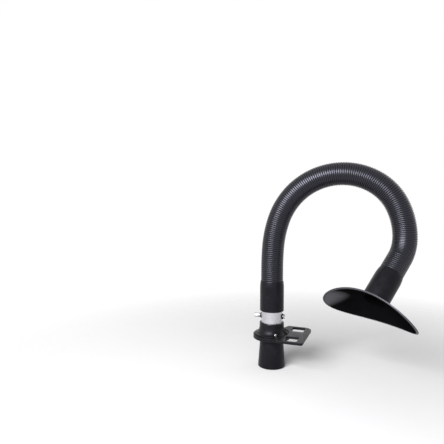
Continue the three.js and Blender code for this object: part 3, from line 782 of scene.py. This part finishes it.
def make_bushes():
    inner = TUBE_R - TUBE_WALL
    bore = SPINDLE_R + FIT
    edge = BUSH_EDGE
    rings = [
        bush_ring(bore, inner, False),
        bush_ring(BUSH_R, inner, False),
        bush_ring(BUSH_R, -BUSH_SINK, True),
        bush_ring(BUSH_FLANGE_R, -BUSH_SINK, True),
        bush_ring(BUSH_FLANGE_R, BUSH_END - edge, False),
        bush_ring(BUSH_FLANGE_R - edge * EDGE_CUT, BUSH_END - edge * EDGE_CUT, False),
        bush_ring(BUSH_FLANGE_R - edge, BUSH_END, False),
        bush_ring(bore + edge, BUSH_END, False),
        bush_ring(bore, BUSH_END - edge, False),
    ]
    for side, axis in (("left", KNOB_AXIS), ("right", DAMPER_AXIS)):
        shells = [placed(skin(rings), axis)]
        name = f"spindle_bush_{side}"
        piece(f"{name}_dressed", shells, MOULDING, "bracket", [name])


def flutes(radius, angle):
    return radius - KNOB_FLUTE_DEPTH * wave(KNOB_FLUTES * angle) ** 2


def make_knob():
    cap = KNOB_END - KNOB_CAP_T
    bore = SPINDLE_R + FIT
    fluted_from_root, fluted_from_tip = KNOB_FLUTE_ENDS
    dimple_r, dimple_floor_r = KNOB_DIMPLE_R
    dimple_floor = KNOB_END - KNOB_DIMPLE_DEPTH
    rows = [(bore, KNOB_START, None)]
    rows += [(KNOB_R - inset_by, KNOB_START + along, None) for inset_by, along in KNOB_ROOT_RINGS]
    rows += [
        (KNOB_R, KNOB_START + fluted_from_root, flutes),
        (KNOB_R, KNOB_END - fluted_from_tip, flutes),
    ]
    rows += [(KNOB_R - inset_by, KNOB_END - back, None) for inset_by, back in KNOB_TIP_RINGS]
    rows += [
        (dimple_r, KNOB_END, None),
        (dimple_floor_r, dimple_floor, None),
        (0, dimple_floor, None),
        (0, cap, None),
        (bore, cap, None),
    ]
    rings = [circle(r, z, KNOB_FLUTES * KNOB_FLUTE_SIDES, shape) for r, z, shape in rows]
    shells = [placed(skin(rings), KNOB_AXIS)]
    piece("damper_knob_dressed", shells, STEEL, "damper", ["damper_knob"])


def blunt_hexagon(radius, angle):
    """The nut's hexagon, cut to a radius at its corners."""
    return min(hexagon(NUT_R, angle), radius)


def make_spindle_end():
    bore = SPINDLE_R + FIT
    low, high = WASHER_SPAN
    washer = turned(rounded([
        (bore, low, 0),
        (WASHER_R, low, WASHER_EDGE),
        (WASHER_R, high, WASHER_EDGE),
        (bore, high, 0),
    ]), SMALL_SIDES)
    shells = [placed(washer, DAMPER_AXIS)]
    piece("spindle_washer_dressed", shells, STEEL, "damper", ["spindle_washer"])
    low, high = NUT_SPAN
    end_r = NUT_R * NUT_END_SHARE
    rings = [
        circle(bore, low, SMALL_SIDES),
        circle(end_r, low, SMALL_SIDES, blunt_hexagon),
        circle(NUT_R, low + NUT_CHAMFER, SMALL_SIDES, blunt_hexagon),
        circle(NUT_R, high - NUT_CHAMFER, SMALL_SIDES, blunt_hexagon),
        circle(end_r, high, SMALL_SIDES, blunt_hexagon),
        circle(bore + NUT_BORE_CHAMFER, high, SMALL_SIDES),
        circle(bore, high - NUT_BORE_CHAMFER, SMALL_SIDES),
    ]
    shells = [placed(skin(rings), DAMPER_AXIS)]
    piece("spindle_nut_dressed", shells, STEEL, "damper", ["spindle_nut"])


def dress_cad_nodes():
    """Small pieces whose CAD shape stays get the finished materials."""
    steel = ["flange_screw_1", "flange_screw_2", "flange_screw_3", "disc_screw_1", "disc_screw_2"]
    steel += ["damper_spindle", "knob_grub_screw"]
    looks = {name: STEEL for name in steel}
    looks["damper_disc"] = ALUMINIUM
    for name, material in looks.items():
        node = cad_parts[name]
        if not node.material_slots:
            node.data.materials.append(material)
        for place in node.material_slots:
            place.link = "OBJECT"
            place.material = material


# Hose
def run_arcs():
    head = (CUFF_GRIP + HOSE_HEAD_RUN, 0, 0)
    tail = (HOSE_TAIL_RUN + CUFF_GRIP, 0, 0)
    return [head, *HOSE_ARCS, tail]


HOSE_LENGTH = sum(row[0] for row in run_arcs())
HOSE_PITCH = HOSE_LENGTH / HOSE_RIBS
HOSE_START = Vector((TUBE_X, 0, CUFF_LOW.z + HOSE_END))


def hose_frame(distance):
    """The matrix at a distance along the hose: Z runs along it and +X points over the loop."""
    place = HOSE_START.copy()
    turn = TURN.to_quaternion()
    left = distance
    for length, over, side in run_arcs():
        run = min(left, length)
        total = math.radians(math.hypot(over, side))
        step = UP * run
        bend = Quaternion()
        if total:
            towards = Vector((over, side, 0)).normalized()
            radius = length / total
            angle = total * run / length
            step = towards * (radius * (1 - math.cos(angle))) + UP * (radius * math.sin(angle))
            bend = Quaternion((-towards.y, towards.x, 0), angle)
        place += turn @ step
        turn = turn @ bend
        left -= run
        if left <= 0:
            break
    return Matrix.Translation(place) @ turn.to_matrix().to_4x4()


def rib_height(station):
    """From 0 on a groove's floor to 1 on the middle of a crest."""
    away = abs(station - 0.5) * 2
    edge = 1 - RIB_GROOVE
    if away <= edge:
        return 1 - RIB_SAG * (away / edge) ** 2
    return (1 - RIB_SAG) * wave(math.pi * (away - edge) / RIB_GROOVE)


def hose_piece(name, first_rib, last_rib, body, nodes):
    """The stretch of hose between two grooves, with its bore."""
    rings = []
    crests = []
    stations = [(rib, station) for rib in range(first_rib, last_rib) for station in RIB_STATIONS]
    for rib, station in [*stations, (last_rib, 0)]:
        crest = rib_height(station)
        matrix = hose_frame((rib + station) * HOSE_PITCH)
        radius = HOSE_R - HOSE_RIB_DEPTH * (1 - crest)
        rings.append([matrix @ point for point in circle(radius, 0, HOSE_SIDES)])
        crests.append(crest)
    for rib in range(last_rib, first_rib - 1, -1):
        matrix = hose_frame(rib * HOSE_PITCH)
        rings.append([matrix @ point for point in circle(HOSE_BORE_R, 0, HOSE_SIDES)])
        crests.append(0)
    obj = piece(name, [skin(rings)], HOSE, body, nodes)
    shade = obj.data.attributes.new("crest", "FLOAT", "POINT")
    shade.data.foreach_set("value", [crest for crest in crests for _ in range(HOSE_SIDES)])
    return obj


def turn_between(first_rib, last_rib):
    """The angle by which the hose turns between two ribs."""
    first = hose_frame(first_rib * HOSE_PITCH).to_quaternion() @ UP
    last = hose_frame(last_rib * HOSE_PITCH).to_quaternion() @ UP
    return first.angle(last)


def make_hose():
    lengths = len(HOSE_ARCS)
    bodies = ["arm_base", *[f"arm_{k}" for k in range(2, lengths + 1)]]
    joint = CUFF_GRIP + HOSE_HEAD_RUN
    last_cut = 0
    for k in range(1, lengths):
        joint += HOSE_ARCS[k - 1][0]
        start = round((joint - ARC / 2) / HOSE_PITCH)
        end = round((joint + ARC / 2) / HOSE_PITCH)
        if k == 1:
            hose_piece("hose_root", 0, start, bodies[0], ["hose_1"])
        else:
            start = last_cut
        bend = hose_piece(f"hose_bend_{k}", start, end, None, [f"hose_{k}", f"hose_{k + 1}"])
        stiff = BEND_STIFF * HOSE_R * math.sin(turn_between(start, end) / 2)
        low = hose_frame(start * HOSE_PITCH + stiff).translation
        high = hose_frame(end * HOSE_PITCH - stiff).translation
        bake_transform(bend)
        last_cut = end
    hose_piece("hose_tail", last_cut, HOSE_RIBS, bodies[-1], [f"hose_{lengths}"])


# Cuffs and hood
def cuff():
    seat_r = TUBE_R + FIT
    hose_seat_r = HOSE_R + FIT
    stop_top = HOSE_END - FIT
    stop_bottom = stop_top - CUFF_STOP_T
    return turned(rounded([
        (seat_r, 0, CUFF_FOOT_BORE_EDGE),
        (CUFF_R, 0, CUFF_FOOT_EDGE),
        (CUFF_R, CUFF_LENGTH - CUFF_TAPER, CUFF_SHOULDER),
        (hose_seat_r + CUFF_LIP_T, CUFF_LENGTH, CUFF_LIP_EDGE),
        (hose_seat_r, CUFF_LENGTH, CUFF_LIP_BORE_EDGE),
        (hose_seat_r, stop_top, 0),
        (CUFF_STOP_R, stop_top, 0),
        (CUFF_STOP_R, stop_bottom, 0),
        (seat_r, stop_bottom, 0),
    ]))


def make_cuffs():
    base_end = Matrix.Translation((TUBE_X, 0, CUFF_LOW.z))
    turn_over = Matrix.Translation((0, 0, HOSE_END)) @ Matrix.Rotation(math.pi, 4, "X")
    hood_end = hose_frame(HOSE_LENGTH) @ turn_over
    for name, place, body in (("base_cuff", base_end, "arm_base"), ("hood_cuff", hood_end, "arm_9")):
        shells = [placed(cuff(), place)]
        piece(f"{name}_dressed", shells, RUBBER, body, [name])


def hood_ring(share, start_radius, shift, lift):
    """A ring of the bowl, at a share of the way from its neck to its rim."""
    ring = []
    half_length = HOOD_HALF_LENGTH - HOOD_LIP + shift
    half_width = HOOD_HALF_WIDTH - HOOD_LIP + shift
    rise = HOOD_CONE_SHARE * share + (1 - HOOD_CONE_SHARE) * share**2
    for i in range(HOOD_SIDES):
        angle = 2 * math.pi * i / HOOD_SIDES
        c = math.cos(angle)
        s = math.sin(angle)
        rim = HOOD_DEPTH + HOOD_DROOP * c * c
        x = (start_radius + (half_length - start_radius) * share) * c
        y = (start_radius + (half_width - start_radius) * share) * s
        ring.append(Vector((x, y, FIT + rim * rise + lift)))
    return ring


def hood_sheen(point):
    """Inside the bowl: from 0 to 1 on the patch at one end that gets a painted sheen."""
    low, high = HOOD_SHEEN_SPAN
    aside = point.y / HOOD_HALF_WIDTH - HOOD_SHEEN_SIDE
    along = point.x / HOOD_HALF_LENGTH - HOOD_SHEEN_BOW * aside**2
    share = min(max((along - low) / (high - low), 0), 1)
    return share * share * (3 - 2 * share)


def make_hood():
    neck_bore = TUBE_R - HOOD_NECK_WALL
    grip = HOSE_END - 2 * FIT - CUFF_STOP_T
    shares = [(i + 1) / HOOD_ROWS for i in range(HOOD_ROWS)]
    soft = HOOD_LIP_ROUND
    cut = EDGE_CUT * soft
    neck = [(neck_bore, -grip), (TUBE_R, -grip), (TUBE_R, FIT)]
    rings = [circle(r, z, HOOD_SIDES) for r, z in neck]
    rings += [hood_ring(share, TUBE_R, HOOD_WALL, 0) for share in shares]
    lip = [
        (HOOD_LIP - soft, 0),
        (HOOD_LIP - cut, cut),
        (HOOD_LIP, soft),
        (HOOD_LIP, HOOD_WALL - soft),
        (HOOD_LIP - cut, HOOD_WALL - cut),
        (HOOD_LIP - soft, HOOD_WALL),
        (soft, HOOD_WALL),
    ]
    rings += [hood_ring(1, TUBE_R, shift, lift) for shift, lift in lip]
    rings += [hood_ring(share, neck_bore, 0, HOOD_WALL) for share in reversed(shares)]
    rings.append(circle(neck_bore, FIT + HOOD_WALL, HOOD_SIDES))
    roll = Matrix.Rotation(math.radians(HOOD_ROLL_DEG), 4, "Z")
    place = hose_frame(HOSE_LENGTH) @ Matrix.Translation((0, 0, HOSE_END)) @ roll
    shells = [placed(skin(rings), place)]
    hood = piece("hood_shell_dressed", shells, HOOD, "hood", ["hood_shell"])
    inside = len(rings) - len(shares) - 1
    # The sheen attribute carries the painted sheen: a patch inside, full on the lip, faint on the
    # outside.
    sheens = []
    for row, ring in enumerate(rings):
        if row == 0 or row >= inside:
            sheens += [hood_sheen(point) for point in ring]
        else:
            on_lip = row >= inside - len(lip)
            sheens += [1 if on_lip else HOOD_SHEEN_OUTSIDE] * len(ring)
    shade = hood.data.attributes.new("sheen", "FLOAT", "POINT")
    shade.data.foreach_set("value", sheens)


# Camera, light and floor
def make_camera():
    data = bpy.data.cameras.new("camera")
    data.lens = CAMERA_LENS
    data.sensor_width = CAMERA_SENSOR
    camera = bpy.data.objects.new("camera", data)
    camera.location = CAMERA_PLACE
    camera.rotation_euler = (math.radians(CAMERA_PITCH_DEG), 0, math.radians(CAMERA_YAW_DEG))
    bpy.context.scene.collection.objects.link(camera)
    bpy.context.scene.camera = camera


def lamp(name, place, size, power):
    data = bpy.data.lights.new(name, "AREA")
    data.shape = "RECTANGLE"
    data.size = size[0]
    data.size_y = size[1]
    data.energy = power
    light = bpy.data.objects.new(name, data)
    light.location = place
    towards = Vector(LAMP_TARGET) - Vector(place)
    light.rotation_euler = towards.to_track_quat("-Z", "Y").to_euler()
    bpy.context.scene.collection.objects.link(light)


def make_world():
    """White to the eye and in reflections, softer as a light."""
    world = bpy.data.worlds.new("studio")
    world.use_nodes = True
    bpy.context.scene.world = world
    tree = world.node_tree
    background = tree.nodes["Background"]
    background.inputs["Color"].default_value = (1, 1, 1, 1)
    path = tree.nodes.new("ShaderNodeLightPath")
    seen = path.outputs["Is Camera Ray"]
    for name in ("Is Glossy Ray", "Is Transmission Ray"):
        either = tree.nodes.new("ShaderNodeMath")
        either.operation = "MAXIMUM"
        tree.links.new(seen, either.inputs[0])
        tree.links.new(path.outputs[name], either.inputs[1])
        seen = either.outputs[0]
    strength = tree.nodes.new("ShaderNodeMapRange")
    strength.inputs["To Min"].default_value = WORLD_LIGHT
    strength.inputs["To Max"].default_value = WORLD_SEEN
    tree.links.new(seen, strength.inputs["Value"])
    tree.links.new(strength.outputs["Result"], background.inputs["Strength"])


def make_floor():
    look = Look("floor", 0, 0.1)
    look.colour(look.mottle(FLOOR_MOTTLE, *FLOOR_COLOURS))
    look.shader.inputs["Roughness"].default_value = FLOOR_ROUGHNESS
    look.fade(FLOOR_MIDDLE, FLOOR_FADE)
    half = FLOOR_SIZE / 2
    z = cad_low.z - FLOOR_GAP
    mesh = bpy.data.meshes.new("floor")
    corners = [(-half, -half, z), (half, -half, z), (half, half, z), (-half, half, z)]
    mesh.from_pydata(corners, [], [(0, 1, 2, 3)])
    mesh.materials.append(look.material)
    floor = bpy.data.objects.new("floor", mesh)
    bpy.context.scene.collection.objects.link(floor)


make_camera()
make_plate()
make_collar()
make_clamp_screw()
make_tube()
make_sleeve()
make_bushes()
make_knob()
make_spindle_end()
dress_cad_nodes()
make_hose()
make_cuffs()
make_hood()
for lamp_row in LAMPS:
    lamp(*lamp_row)
make_world()
make_floor()
bpy.context.scene.view_settings.view_transform = "Standard"
